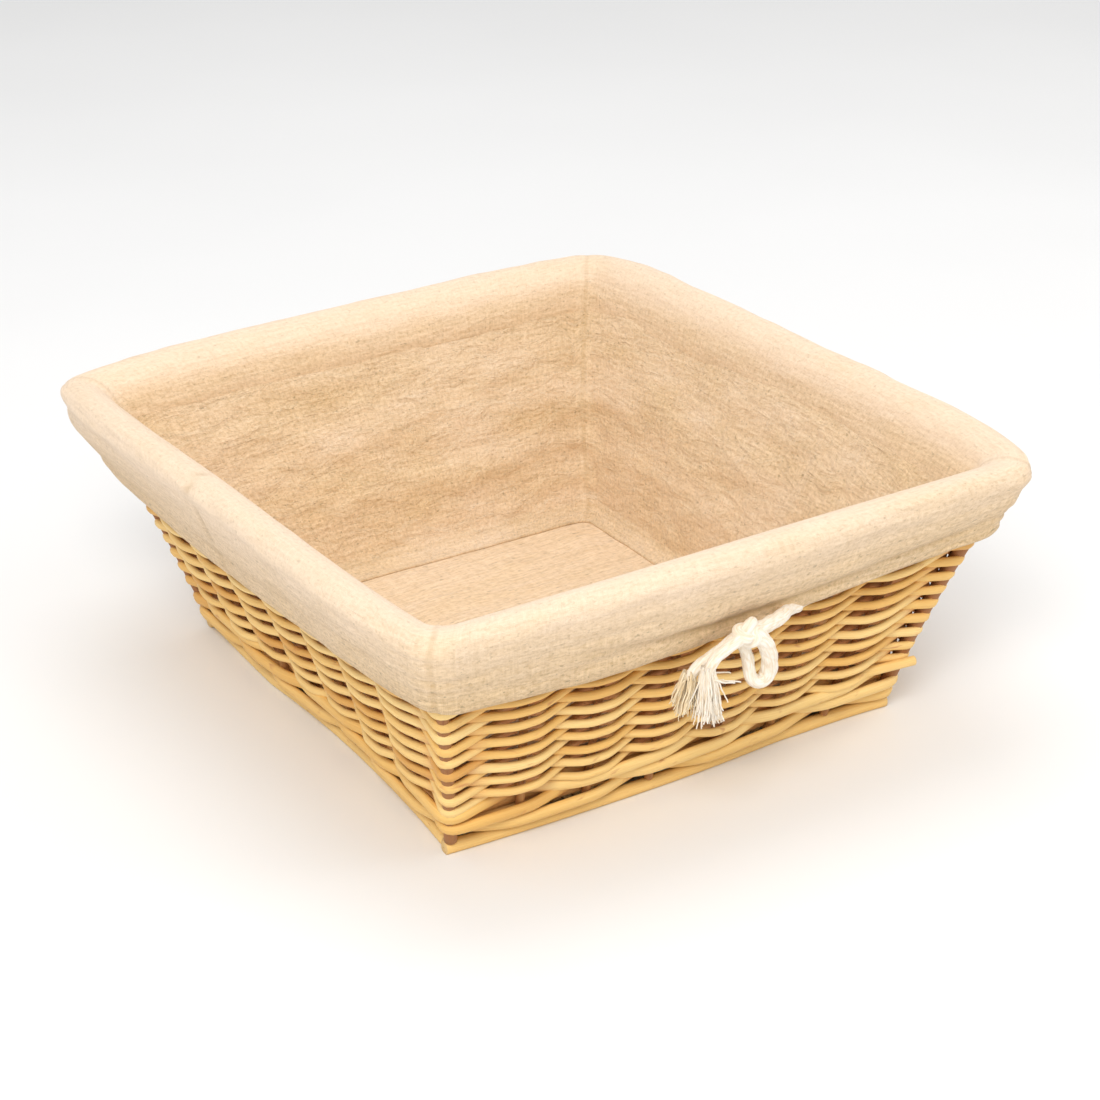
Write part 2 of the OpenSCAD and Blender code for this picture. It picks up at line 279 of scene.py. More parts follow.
def cotton(name, top, low, speck, seed_colour):
    """Plain-woven unbleached cotton: crossing threads, slubs both ways, specks of seed, wear in the seams,
    painted shade in the cuff's crease and along its hem, and painted shade from the shade attribute.
    """
    k = Nodes(name, 0.9, 0.22, sheen=(0.25, 0.55))
    uv = k.node("UVMap", 0, {}, uv_map="cloth")
    shade = k.attribute("shade")
    slub_a = k.noise(uv, (40, 520, 1), detail=3.0, rough=0.6)
    slub_b = k.noise(uv, (800, 60, 1), (7, 3, 0), 3.0, 0.6)
    cloud = k.noise(uv, (22, 40, 1), (2, 5, 0), 3.0, 0.6)
    grain = k.noise(uv, (360, 560, 1), (4, 9, 0), 3.0, 0.7)
    seed = k.noise(uv, (260, 400, 1), (11, 1, 0), 2.0, 0.6)
    crease = k.noise(uv, (55, 120, 1), (3, 8, 0), 4.0, 0.62, 0.8)

    def threads(direction):
        fine = k.node("Mapping", 0, {"Vector": uv, "Scale": (420, 420, 1)})
        return k.node("TexWave", "Fac", {"Vector": fine, "Scale": 1.0, "Distortion": 0.6, "Detail": 1.0},
                      wave_type="BANDS", bands_direction=direction)

    weave = k.times(threads("X"), threads("Y"))
    slubs = k.add(k.times(slub_a, 0.6), k.times(slub_b, 0.4))
    # painted shade: the shade attribute takes the cloth from its top colour to its low colour, darker lower
    # down the cuff and inside, with a large cloud of mottle added
    shade_and_cloud = k.add(shade, k.times(k.add(cloud, -0.5), 0.9), clamp=True)
    mottle = k.add(0.32, k.times(shade, 0.7))
    colour = k.mix(shade_and_cloud, top, low)
    colour = k.mix(k.times(k.span(slubs, 0.36, 0.62, 0.6, 0.0), mottle), colour, speck)
    colour = k.mix(k.times(k.span(grain, 0.32, 0.56, 0.75, 0.0), mottle), colour, speck)
    colour = k.mix(k.times(k.span(seed, 0.62, 0.72, 0.0, 0.75), mottle), colour, seed_colour)
    # darker along the seams, and painted shade in the cuff's crease and along its hem
    colour = k.mix(k.times(k.attribute("seam_and_shade"), 0.6), colour, speck)
    rumple = k.bump(k.times(crease, k.attribute("crumple")), 0.005, 0.6)
    under = k.bump(k.add(k.times(slubs, 0.9), k.times(grain, 0.5)), 0.0011, 0.6, rumple)
    return k.finish(colour, k.span(grain, 0.2, 0.8, 0.82, 0.97), k.bump(weave, 0.0004, 0.45, under))


def yarn(name, pale, dark):
    """Soft cotton cord: fine twisted yarn with a little fluff."""
    k = Nodes(name, 0.88, 0.25, sheen=(0.35, 0.5))
    g = k.attribute("grain", "Vector")
    ply = k.noise(g, (160, 1100, 1100), detail=3.0, rough=0.6)
    fluff = k.noise(g, (500, 2200, 2200), detail=3.0, rough=0.7)
    colour = k.ramp(ply, (0.28, dark), (0.62, pale))
    # painted shade: the cord darkens in the grooves between its plies and inside the tassels
    colour = k.mix(k.times(k.attribute("deep"), 0.55), colour, dark)
    return k.finish(colour, None, k.bump(k.add(k.times(ply, 0.6), k.times(fluff, 0.4)), 0.0007, 0.7))


WILLOW = willow("willow_peeled", rgb(252, 220, 150), rgb(240, 194, 112), rgb(214, 156, 80), rgb(186, 108, 70))
STAKE = willow("willow_stake", rgb(206, 160, 98), rgb(182, 130, 76), rgb(152, 98, 56), rgb(126, 68, 44))
CUT = cut_end("willow_cut")
CLOTH = cotton("cotton_cloth", rgb(249, 224, 196), rgb(240, 209, 165), rgb(184, 152, 104), rgb(142, 122, 86))
CORD = yarn("cotton_cord", rgb(253, 247, 236), rgb(234, 214, 182))
TUFT = yarn("cotton_tuft", rgb(250, 236, 206), rgb(220, 190, 140))


# ------------------------ meshes
def piece(name, verts, faces, body, materials, attributes, uv=None, slots=None):
    """A mesh object from points in millimetres."""
    mesh = bpy.data.meshes.new(name)
    mesh.from_pydata((np.asarray(verts, float) * MM).tolist(), [], faces)
    for m in materials:
        mesh.materials.append(m)
    if slots is not None:
        mesh.polygons.foreach_set("material_index", np.asarray(slots, np.int32))
    mesh.polygons.foreach_set("use_smooth", [True] * len(mesh.polygons))
    for key, values in attributes.items():
        values = np.asarray(values, np.float32)
        kind, field = ("FLOAT_VECTOR", "vector") if values.ndim == 2 else ("FLOAT", "value")
        mesh.attributes.new(key, kind, "POINT").data.foreach_set(field, values.ravel())
    if uv is not None:
        layer = mesh.uv_layers.new(name="cloth")
        layer.data.foreach_set("uv", np.asarray(uv, np.float32).ravel())
    mesh.update()
    obj = bpy.data.objects.new(name, mesh)
    scene.collection.objects.link(obj)
    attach(obj, body)
    return obj


class Rods:
    """Gathers tubes into one mesh, with each point's place in the wood's grain and its tone."""

    def __init__(self):
        self.verts, self.faces, self.slots = [], [], []
        self.marks = {"grain": [], "tone": [], "deep": [], "core": []}
        self.count = 0

    def store(self, verts, **marks):
        self.verts.append(verts)
        for key, values in marks.items():
            self.marks[key].append(values)
        self.count += len(verts)

    def face(self, corners, slot, flip):
        self.faces.append(corners[::-1] if flip else corners)
        self.slots.append(slot)

    def add(self, p, ref, out, side, tone=0.5, deep=0.0, sides=10, seed=0, cut=(False, False),
            lobes=0, pitch=22.0, floor=None, groove=0.1, woven=True):
        """A tube along p. out and side are its half sizes, along ref and across it."""
        p = settle(p) if woven else np.asarray(p, float)
        m = len(p)
        t = unit(np.gradient(p, axis=0))
        n = unit(ref - t * np.sum(ref * t, axis=1, keepdims=True))
        b = np.cross(t, n)
        far = np.concatenate([[0], np.cumsum(np.linalg.norm(np.diff(p, axis=0), axis=1))])
        out, side, deep = [np.broadcast_to(q, m).astype(float) for q in (out, side, deep)]
        a = np.arange(sides) * 2 * math.pi / sides
        along_out, along_side = out[:, None] * np.cos(a), side[:, None] * np.sin(a)
        swell = np.ones((m, sides))
        # dark: the painted shade for each point of the tube, from deep
        dark = np.repeat(deep[:, None], sides, 1)
        if lobes:
            twist = a[None, :] + far[:, None] / pitch * 2 * math.pi
            bulge = np.abs(np.cos(lobes * twist / 2)) ** 0.7
            swell = 1 - groove + groove * bulge
            # painted shade in the grooves between the twisted plies
            dark = held(dark + 0.9 * (1 - bulge) ** 2)
        ring = p[:, None] + n[:, None] * (along_out * swell)[..., None]
        ring = ring + b[:, None] * (along_side * swell)[..., None]
        if floor is not None:
            ring[..., 2] = np.maximum(ring[..., 2], floor)
        length = np.repeat(far[:, None], sides, 1)
        grain = (length * MM + seed * 0.37, along_out * MM + seed * 0.011, along_side * MM + seed * 0.007)
        grain = np.stack(grain, -1)
        first = self.count
        self.store(ring.reshape(-1, 3), grain=grain.reshape(-1, 3), tone=np.full(m * sides, tone),
                   deep=dark.ravel(), core=np.zeros(m * sides))
        row, j = np.arange(m - 1)[:, None] * sides + first, np.arange(sides)[None, :]
        j2 = (j + 1) % sides
        quads = np.stack([row + j, row + sides + j, row + sides + j2, row + j2], -1)[..., ::-1]
        self.faces += quads.reshape(-1, 4).tolist()
        self.slots += [0] * quads.shape[0] * sides
        for end, row, way in ((0, 0, -1), (1, m - 1, 1)):
            rim = list(range(first + row * sides, first + (row + 1) * sides))
            if cut[end]:
                self.cut_face(ring[row], grain[row], rim, t[row] * way, tone, way < 0)
            else:
                self.face(rim[::-1], 0, way < 0)

    def cut_face(self, ring, grain, rim, out, tone, flip):
        """A slightly domed cut end, in steps (share of the rim's size, how far it stands out, pith)."""
        middle, sides, last = ring.mean(0), len(rim), rim
        for share, proud, pith in ((0.86, 0.35, 0.0), (0.3, 0.45, 0.3)):
            new = list(range(self.count, self.count + sides))
            self.store(middle + (ring - middle) * share + out * proud, grain=grain * [1, share, share],
                       tone=np.full(sides, tone), deep=np.zeros(sides), core=np.full(sides, pith))
            for q in range(sides):
                q2 = (q + 1) % sides
                self.face([last[q], last[q2], new[q2], new[q]], 1, flip)
            last = new
        for q in range(sides):
            self.face([last[q], last[(q + 1) % sides], self.count], 1, flip)
        self.store((middle + out * 0.4)[None], grain=grain[:1] * [1, 0, 0], tone=np.full(1, tone),
                   deep=np.zeros(1), core=np.ones(1))

    def make(self, name, body, slot, materials):
        marks = {key: np.concatenate(parts) for key, parts in self.marks.items()}
        verts = np.concatenate(self.verts)
        return piece(name, verts, self.faces, body, materials, marks, slots=self.slots)

    def stand_for(self, node, material, suffix="_rods"):
        """The rods as a piece of the basket, in place of the CAD's node."""
        slot = "willow_stake" if material is STAKE else "willow"
        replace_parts(self.make(node + suffix, "basket", slot, [material, CUT]), node)


def smooth_line(points, step):
    """A rounded line through points, with a point about every step."""
    p = np.asarray(points, float)
    ext = np.vstack([2 * p[0] - p[1], p, 2 * p[-1] - p[-2]])
    out = []
    for k in range(1, len(ext) - 2):
        a, b, c, d = ext[k - 1:k + 3]
        n = max(2, int(np.linalg.norm((c - b)[:3]) / step) + 1)
        for t in np.arange(n) / n:
            bend, twist = 2 * a - 5 * b + 4 * c - d, 3 * b - a - 3 * c + d
            out.append(0.5 * (2 * b + (c - a) * t + bend * t * t + twist * t ** 3))
    out.append(p[-1])
    return np.array(out)


def carried(p):
    """A direction square to the line at each point, carried along without twist."""
    t = unit(np.gradient(p, axis=0))
    u = np.cross(t[0], [0, 0, 1.0])
    if np.linalg.norm(u) < 0.1:
        u = np.cross(t[0], [1.0, 0, 0])
    out = []
    for d in t:
        u = u - d * np.dot(u, d)
        u = u / np.linalg.norm(u)
        out.append(u)
    return np.array(out)


# ------------------------ drawstring: the cords come first
LEAD_RIGHT = [
    [38.5, -184.6, 101.4], [36.5, -185.9, 102.2], [31, -188.2, 103.8], [26, -191, 104.7], [20, -194.8, 105.2],
    [12, -197.8, 105.6], [3, -200.8, 106.2]]
LEAD_LEFT = [
    [0.6, -184.4, 101.4], [2, -185.6, 101.5], [1.4, -188.4, 101.7], [-0.4, -192, 102.6], [-2.6, -196, 104],
    [-4.6, -199.4, 105.4]]
LOOP = [
    [0, -203, 105], [4, -203, 100.8], [7.2, -202, 95.5], [9.4, -200.8, 90], [10.6, -199.4, 84.5],
    [10.4, -198.2, 79.5], [7.8, -197.3, 76.4], [4.2, -196.8, 76.8], [1.6, -196.4, 80], [1, -196, 84.5],
    [0.2, -196, 89.5], [-1.8, -196.8, 95], [-4.2, -198, 99.5], [-6, -199.5, 103]]
TAIL_A = [
    [-13, -203.4, 104.5], [-18, -202.6, 102], [-22.4, -201.4, 98.2], [-24.8, -200.2, 93.5],
    [-25.5, -199.6, 89.5]]
TAIL_B = [
    [-13, -195.8, 100], [-18.8, -194.6, 96.5], [-24.8, -193.8, 93.6], [-29.5, -193.2, 90],
    [-31.4, -192.8, 86.5]]
# where each end of the cord goes through the knot
IN_KNOT_RIGHT, IN_KNOT_B, IN_KNOT_LEFT = [-1.5, -202.4, 106.8], [-8.0, -198.6, 104.6], [-6.5, -202.0, 106.2]
# half widths at those points: thin at the casing, full in the knot and the loop, thinner in the tails
WIDTHS_RIGHT = [2.6, 2.8, 3.0, 3.3] + [3.7] * 4 + [4.2] * 6 + [3.8, 3.5, 3.2] + [3.1] * 6 + [2.8] * 5
WIDTHS_LEFT = [2.4, 2.6, 2.8, 3.1, 3.3, 3.5, 3.5, 3.0, 2.9, 2.8, 2.8, 2.8]
KNOT = np.array([-4, -201.5, 106.5])
KNOT_R = 3.1


def strand(name, points, widths, seed):
    """A twisted cord along points; widths is a radius for each."""
    line = smooth_line(np.column_stack([points, widths]), 0.8)
    p, r = line[:, :3], line[:, 3]
    rods = Rods()
    r = r * (1 + 0.03 * wave(np.arange(len(p)) / 6.0, 0, seed))
    rods.add(p, carried(p), r, r, sides=30, seed=seed, lobes=3, pitch=26.0, woven=False)
    return rods.make(name, "liner", "cotton_cord", [CORD]), p


def overhand_knot():
    """The cord's own turns pulled tight into a small bundle, a trefoil."""
    t = np.linspace(0, 2 * math.pi, 150)
    across, down = (np.sin(t) + 2 * np.sin(2 * t)) * 1.75, (np.cos(t) - 2 * np.cos(2 * t)) * 1.55
    turns = np.column_stack([across, down, -np.sin(3 * t) * 2.1])
    lean = Matrix.Rotation(math.radians(68), 3, "X") @ Matrix.Rotation(math.radians(20), 3, "Z")
    turns = (np.array(lean) @ turns.T).T + KNOT
    rods = Rods()
    rods.add(turns, carried(turns), KNOT_R, KNOT_R, sides=26, seed=9, lobes=3, pitch=24.0, woven=False)
    return rods.make("drawstring_knot_turns", "liner", "cotton_cord", [CORD])


def tassel(name, top, down, lean, spread, count, seed, material, side_lock=0):
    """The frayed end of a cord: locks of fine yarn that part as they fall, some short, a few astray.
    The first side_lock yarns stick out to the right."""
    rng = np.random.default_rng(seed)
    rods = Rods()
    top = np.array(top, float)
    locks = []
    for k in range(8):
        a, far = k * 2.4 + rng.uniform(-0.3, 0.3), math.sqrt((k + 0.6) / 8)
        locks.append((a, far, rng.uniform(0.8, 1.05), rng.uniform(-0.05, 0.05, 2), rng.uniform(0, 20)))
    for k in range(count):
        a, far, share, sway, at = locks[k % 8]
        stray = k % 13 == 0
        here = rng.normal(0, 1.1 if stray else 0.5, 2)
        around = np.array([math.cos(a), math.sin(a), 0])
        start = top + around * far * 2.8 + [here[0] * 0.8, here[1] * 0.8, rng.uniform(0.5, 5.5)]
        length = (down + 3) * share * rng.uniform(0.45 if stray else 0.78, 1.03)
        t = np.linspace(0, 1, 18)
        p = start + np.outer(t, [(lean[0] + sway[0]) * length, (lean[1] + sway[1]) * length, -length])
        fan = t ** 0.8 * spread * (1.4 if stray else far)
        p += np.outer(fan, [math.cos(a), math.sin(a) * 0.7, 0])
        p += np.outer(t ** 1.4, [here[0] * 1.5, here[1] * 1.1, 0])
        p[:, 0] += 1.2 * wave(t * 3 + at, 0.5, seed) * t + 0.8 * wave(t * 9 + k * 3.1, 1.5, seed) * np.sqrt(t)
        if k < side_lock:
            p[:, 0] += 9.5 * held(t - 0.22) * (1 + 0.12 * k)
            p[:, 2] += 19.0 * held(t - 0.22)
        p[:, 1] += 0.8 * wave(t * 3 + at, 4.5, seed + 1) * t + 0.4 * wave(t * 9 + k * 5.3, 2.5, seed + 1) * t
        r = rng.uniform(0.36, 0.6) * (1 - 0.4 * t)
        # painted shade: darker towards the tassel's middle and its top
        deep = 0.25 * (1 - far) * (1 - t) + 0.05
        rods.add(p, carried(p), r, r, rng.uniform(0.3, 0.8), deep, 6, k, woven=False)
    return rods.make(name, "liner", "cotton_cord", [material])


right_line = LEAD_RIGHT + [IN_KNOT_RIGHT] + LOOP + [IN_KNOT_B] + TAIL_B
left_line = LEAD_LEFT + [IN_KNOT_LEFT] + TAIL_A
cord_right, path_right = strand("drawstring_right", right_line, WIDTHS_RIGHT, 3)
cord_left, path_left = strand("drawstring_left", left_line, WIDTHS_LEFT, 5)
knot = overhand_knot()
tuft_a = tassel("tassel_a_tuft", [-25.5, -199.5, 90.0], 26.5, (0.0, 0.02), 3.9, 150, 21, CORD, side_lock=6)
tuft_b = tassel("tassel_b_tuft", [-31.4, -192.7, 86.4], 17.0, (-0.2, 0.0), 3.8, 84, 22, TUFT)
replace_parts(knot, "drawstring_knot")
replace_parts(tuft_a, "tassel_a")
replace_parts(tuft_b, "tassel_b")
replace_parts(cord_right, "drawstring_lead_right", "drawstring_loop", "drawstring_tail_b")
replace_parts(cord_left, "drawstring_lead_left", "drawstring_tail_a")
for cord, path, loose in ((cord_right, path_right, [knot, tuft_b]), (cord_left, path_left, [tuft_a])):
    path = path * MM


# ------------------------ wicker: rods that go round the basket
INNER_CUT = 2.5                      # how far a rod inside a corner post cuts the corner
OUT_X, OUT_Y, PLACE, SIDE = 3, 4, 6, 7    # columns of a ring path, after x, y, z; 5 is the outward z


def ring_turns(z, sides, amp, corner_amp, flat):
    """Where a rod turns on its way round. sides[k] is 1 where it passes outside crossing k, or -1."""
    rows = []
    for i in range(4):
        reach, far, first = half(i, z), away(i, z), RING[i]
        a, b = corner_amp / math.cos(TILT[i - 1]), corner_amp / math.cos(TILT[i])
        before, here = outward((i - 1) % 4), outward(i)
        if sides[first] > 0:
            for q in (0, 22.5, 45, 67.5, 90):
                c, s = turned(q)
                at, way = on_wall(i, -reach - a * c, far + b * s, z), unit(before * c + here * s)
                rows.append([*at, *way, first + (q / 90 - 0.5) * 0.16, 1])
        else:
            a, b = a * 0.8, b * 0.8
            middle = 0.29 * INNER_CUT
            for q, (s, d) in enumerate(((0, INNER_CUT), (middle, middle), (INNER_CUT, 0))):
                way = unit(before * (1 - q / 2) + here * q / 2)
                rows.append([*on_wall(i, -reach + a + s, far - b - d, z), *way, first + (q - 1) * 0.12, -1])
        n = STAKES[i]
        gap = 2 * reach / (n + 1)
        for j in range(1, n + 1):
            side = sides[first + j]
            for e in (-flat, flat):
                at = on_wall(i, (2 * j / (n + 1) - 1) * reach + e, far + side * amp / math.cos(TILT[i]), z)
                rows.append([*at, *here, first + j + e / gap, side])
    rows.append(rows[0][:PLACE] + [rows[0][PLACE] + CROSSINGS, rows[0][SIDE]])
    return np.array(rows, float)


def ring_path(z, sides, amp, corner_amp, flat=8.5, spread=2.7):
    """The smoothed path of a rod at height z, twice round: columns as named above."""
    data = ring_turns(z, sides, amp, corner_amp, flat)
    far = np.concatenate([[0], np.cumsum(np.linalg.norm(np.diff(data[:, :3], axis=0), axis=1))])
    even = np.linspace(0, far[-1], int(far[-1]), endpoint=False)
    dense = np.column_stack([np.interp(even, far, data[:, c]) for c in range(8)])
    reach = int(spread * 3)
    kernel = np.exp(-0.5 * (np.arange(-reach, reach + 1) / spread) ** 2)
    kernel /= kernel.sum()
    for c in (0, 1, 2, 3, 4, 5, SIDE):
        padded = np.concatenate([dense[-reach:, c], dense[:, c], dense[:reach, c]])
        dense[:, c] = np.convolve(padded, kernel, "valid")
    dense = dense[::3]
    again = dense.copy()
    again[:, PLACE] += CROSSINGS
    return np.vstack([dense, again])


def lifted(path, z, dz):
    """The path's points moved up the flared walls by dz."""
    q = path[:, :3].copy()
    q[:, 0] *= (AX + KX * (z + dz)) / (AX + KX * z)
    q[:, 1] *= (AY + KY * (z + dz)) / (AY + KY * z)
    q[:, 2] += dz
    return q


def leant(path, amp):
    """How far a rod drops as it comes out in front of a leaning stake, and rises behind it."""
    lean = np.abs(path[:, OUT_Y]) * math.sin(TILT[0]) + np.abs(path[:, OUT_X]) * math.sin(TILT[1])
    return -path[:, SIDE] * amp * lean


def own_part(u, i, r, period, rest):
    """Which points of rod r are wall i's own: from a crossing that it passes behind to another such."""
    first, last = [k + (rest - k - r) % period for k in RING[i:i + 2]]
    return (u >= first - 0.02) & (u <= last + 0.02)


def tone_of(rng, spread, low, high):
    return float(np.clip(0.5 + spread * rng.standard_normal(), low, high))


def weave_rods():
    """Wall weavers, in front of one crossing and behind the next. Each is a rod of its own tone."""
    walls = [Rods() for _ in WALLS]
    for r in range(WEAVE_ROWS):
        z = WEAVE_FOOT + WEAVE_PITCH * r + WEAVE_PITCH / 2
        rng = np.random.default_rng(100 + r)
        sides = [1 if (k + r) % 2 == 0 else -1 for k in range(CROSSINGS + 1)]
        path = ring_path(z, sides, 4.6 + rng.uniform(-0.15, 0.25), 3.5, flat=6.8)
        u, out = path[:, PLACE], path[:, SIDE]
        dz = 0.42 * wave(u / 1.7, r, 11) + 0.38 * wave(u * 0.8, r * 3, 12) + leant(path, 4.9)
        dz += 0.9 * np.sin(u * 0.42 + 0.6) * np.sin(math.pi * (z - WEAVE_FOOT) / WEAVE_HIGH)
        dz = np.where(u < CROSSINGS, dz, np.interp(u - CROSSINGS, u, dz))
        p = lifted(path, z, dz)
        thick = rng.uniform(0.94, 1.07) * (1 + 0.07 * wave(u / 2.3, r, 13))
        corners = np.array(RING + [RING[1] + CROSSINGS])
        by_corner = np.exp(-(np.min(np.abs(u[:, None] - corners[None, :]), axis=1) / 0.55) ** 2)
        wide = (1.98 + 0.14 * np.abs(out) + 0.95 * by_corner) * thick
        # painted shade: the rod darkens where it passes behind a stake
        deep = held(0.15 - out) ** 1.2
        for i in range(4):
            own = own_part(u, i, r, 2, 1)
            tone = tone_of(rng, 0.3, 0.05, 0.95)
            walls[i].add(p[own], path[own, 3:6], 2.02 * thick[own], wide[own], tone, deep[own], 10, r * 4 + i)
    for i, name in enumerate(WALLS):
        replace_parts(walls[i].make(f"weave_{name}_rods", "basket", "willow", [WILLOW]), f"weave_{name}")


def wale_rods():
    """The wale at the foot: rods that pass in front of two crossings and behind one, and rods behind them."""
    walls = [Rods() for _ in WALLS]
    for r in range(WALE_ROWS):
        z = 11.2 + 6.8 * r
        rng = np.random.default_rng(200 + r)
        sides = [-1 if (k + r) % 3 == 0 else 1 for k in range(CROSSINGS + 1)]
        path = ring_path(z, sides, 3.7, 4.1, flat=5.0, spread=4.5)
        u, out = path[:, PLACE], path[:, SIDE]
        phase = ((u + r) % 3) / 3          # 0 is behind a stake; the rod climbs while it is in front
        climb = 0.95 * np.interp(phase, [0, 0.18, 0.82, 1], [0, -1, 1, 0])
        p = lifted(path, z, climb + 0.3 * wave(u / 2, r, 31) + leant(path, 2.4) + 0.5)
        thick = 1 + 0.05 * wave(u / 1.9, r, 32)
        for i in range(4):
            own = own_part(u, i, r, 3, 0)
            # painted shade on the parts of each rod that lie behind a stake
            tone, deep, wide = tone_of(rng, 0.2, 0.1, 0.9), held(-out[own]) * 0.8, thick[own]
            walls[i].add(p[own], path[own, 3:6], 2.5 * wide, 3.7 * wide, tone, deep, 12, 300 + r * 4 + i)
    for r, z in enumerate((14.4, 21.2, 27.6)):
        path = ring_path(z, [-1] * (CROSSINGS + 1), 3.6, 3.6)
        u = path[:, PLACE]
        p = lifted(path, z, 0.3 * wave(u / 2, r, 33))
        for i in range(4):
            own = own_part(u, i, r, 1, 0)
            # the 0.45 is painted shade on these rods, which lie behind the wale
            walls[i].add(p[own], path[own, 3:6], 2.3, 3.1, 0.4, 0.45, 10, 360 + r * 4 + i)
    walls[0].add(*cut_stub(), 2.5, 2.75, 0.62, 0.0, 14, 340, cut=(False, True))
    for i, name in enumerate(WALLS):
        walls[i].stand_for(f"wale_{name}", WILLOW)


def cut_stub():
    """One wale rod ends in a stub that leaves the front wall at its right corner."""
    reach, far, c = half(0, 26.4), away(0, 26.4), math.cos(TILT[0])
    stub = [(-40, -2.5, 27.0), (-30, 0.5, 28.6), (-18, 4.5, 30.4), (-6, 7.6, 31.6), (5, 9.6, 32.2)]
    p = smooth_line([on_wall(0, reach + past, far + out / c, z) for past, out, z in stub], 2.5)
    return p, every(outward(0), p)


# ------------------------ wicker: straight rods, base and border
def stake_rods():
    for i, name in enumerate(WALLS):
        rods = Rods()
        for j in range(1, STAKES[i] + 1):
            z = np.linspace(STAKE_FOOT, STAKE_TOP, 40)
            rng = np.random.default_rng(400 + i * 10 + j)
            bow = 0.25 * wave(z / 40, j, 40 + i)
            share = 2 * j / (STAKES[i] + 1) - 1
            p = np.array([on_wall(i, share * half(i, q) + b, away(i, q), q) for q, b in zip(z, bow)])
            r = 2.2 * (1 - 0.0008 * z) + 0.05
            tone, seed = rng.uniform(0.3, 0.7), 60 + i * 10 + j
            # the 0.35 is painted shade on the stakes, which lie behind the weavers
            rods.add(p, every(outward(i), p), r, r, tone, 0.35, 12, seed, CUT_BOTH)
        rods.stand_for(f"stakes_{name}", STAKE)


def corner_posts():
    """Thicker than the CAD's, to fill the corners; the front right one, seen against the light, the most."""
    corners = (("front_left", -1, -1, 3.3), ("front_right", 1, -1, 3.8), ("back_right", 1, 1, 3.3),
               ("back_left", -1, 1, 3.3))
    for k, (name, sx, sy, thick) in enumerate(corners):
        rods = Rods()
        z = np.linspace(STAKE_FOOT, STAKE_TOP, 40)
        p = np.column_stack([sx * (AX + KX * z), sy * (AY + KY * z), z])
        r = thick * (1 - 0.0005 * z)
        # the 0.55 is painted shade on the posts, which lie inside the corners
        rods.add(p, every([sx, 0, 0], p), r, r, 0.35, 0.55, 16, 90 + k, CUT_BOTH)
        rods.stand_for(f"post_{name}", STAKE, "_rod")


def foot_rods():
    """The thick rods that the basket stands on; the front one bends out a little at its right end."""
    for i, name in enumerate(WALLS):
        rods = Rods()
        low, high = ((-136.0, 136.0), (-129.5, 129.5), (-141.5, 136.0), (-129.5, 129.5))[i]
        s = np.linspace(low, high, 60)
        rise = 0.35 * wave(s / 60, i, 51)
        d = away(i, FOOT_Z) + 0.5 * wave(s / 70, i, 52)
        d = d + (2.0 * held((s - 95) / 45) ** 2 if i == 0 else 0)
        p = np.array([on_wall(i, a, b, FOOT_Z + c * 0.5) for a, b, c in zip(s, d, rise)])
        r = FOOT_R * (1 + 0.03 * wave(s / 25, i, 53))
        tone = 0.55 + 0.1 * (i % 2)
        rods.add(p, every(outward(i), p), r, r, tone, 0.0, 20, 500 + i, CUT_BOTH, floor=0.0)
        rods.stand_for(f"foot_rod_{name}", WILLOW, "_willow")


def base_sticks():
    rods = Rods()
    for j in range(STICKS):
        x = np.linspace(-STICK_END, STICK_END, 40)
        y = (j - 3) * STICK_GAP + 0.4 * wave(x / 70, j, 61)
        p = np.column_stack([x, y, np.full(40, STICK_Z)])
        # the 0.2 is painted shade on the sticks under the base weave
        rods.add(p, every(UP, p), 2.72, 2.72, 0.35 + 0.05 * j, 0.2, 12, 600 + j, CUT_BOTH)
    rods.stand_for("base_sticks", STAKE)


def base_weave():
    """Weavers over one stick and under the next."""
    rods = Rods()
    for r in range(BASE_ROWS):
        way = 1 if r % 2 == 0 else -1
        y = np.linspace(-BASE_END, BASE_END, 110)
        f = np.cos(math.pi * (y / STICK_GAP + 3))
        z = STICK_Z + way * 3.85 * np.sign(f) * np.abs(f) ** 0.55
        z = np.convolve(np.pad(z, 2, "edge"), [0.15, 0.2, 0.3, 0.2, 0.15], "valid")
        x = (r - (BASE_ROWS - 1) / 2) * BASE_PITCH + 0.35 * wave(y / 50, r, 71)
        p = np.column_stack([x, y, z])
        rng = np.random.default_rng(700 + r)
        thick = 1 + 0.05 * wave(y / 60, r, 72)
        tone = tone_of(rng, 0.2, 0, 1)
        # the 0.15 is painted recess shade on the base weavers
        rods.add(p, every(UP, p), 1.4 * thick, 3.05 * thick, tone, 0.15, 10, 700 + r, CUT_BOTH)
    rods.stand_for("base_weave", WILLOW)


def border_rods():
    """Three rods along each wall's top, rounded to the middle of each corner."""
    for i, name in enumerate(WALLS):
        rods = Rods()
        for k, (o, z) in enumerate(((3.4, BORDER_Z), (-3.4, BORDER_Z), (0.0, BORDER_Z + 5.0))):
            reach = half(i, BORDER_Z) + o / math.cos(TILT[i - 1])
            far = away(i, BORDER_Z) + o / math.cos(TILT[i])
            c = BORDER_CORNER + o
            bend = [(c * a, c * b) for a, b in map(turned, (45, 60, 75, 90))]
            line = [(-reach + c - a, far - c + b) for a, b in bend]
            line += [(s, far) for s in np.linspace(-reach + c + 4, reach - c - 4, 24)]
            line += [(reach - c + a, far - c + b) for a, b in bend[::-1]]
            p = smooth_line([on_wall(i, s, d, z + 0.3 * float(wave(s / 30, k, 81))) for s, d in line], 4.0)
            tone, seed = 0.4 + 0.15 * k, 800 + i * 3 + k
            # the 0.1 is painted recess shade on the border rods
            rods.add(p, every(UP, p), BORDER_R, BORDER_R, tone, 0.1, 12, seed, CUT_BOTH)
        rods.stand_for(f"border_{name}", WILLOW)


weave_rods()
wale_rods()
stake_rods()
corner_posts()
foot_rods()
base_sticks()
base_weave()
border_rods()


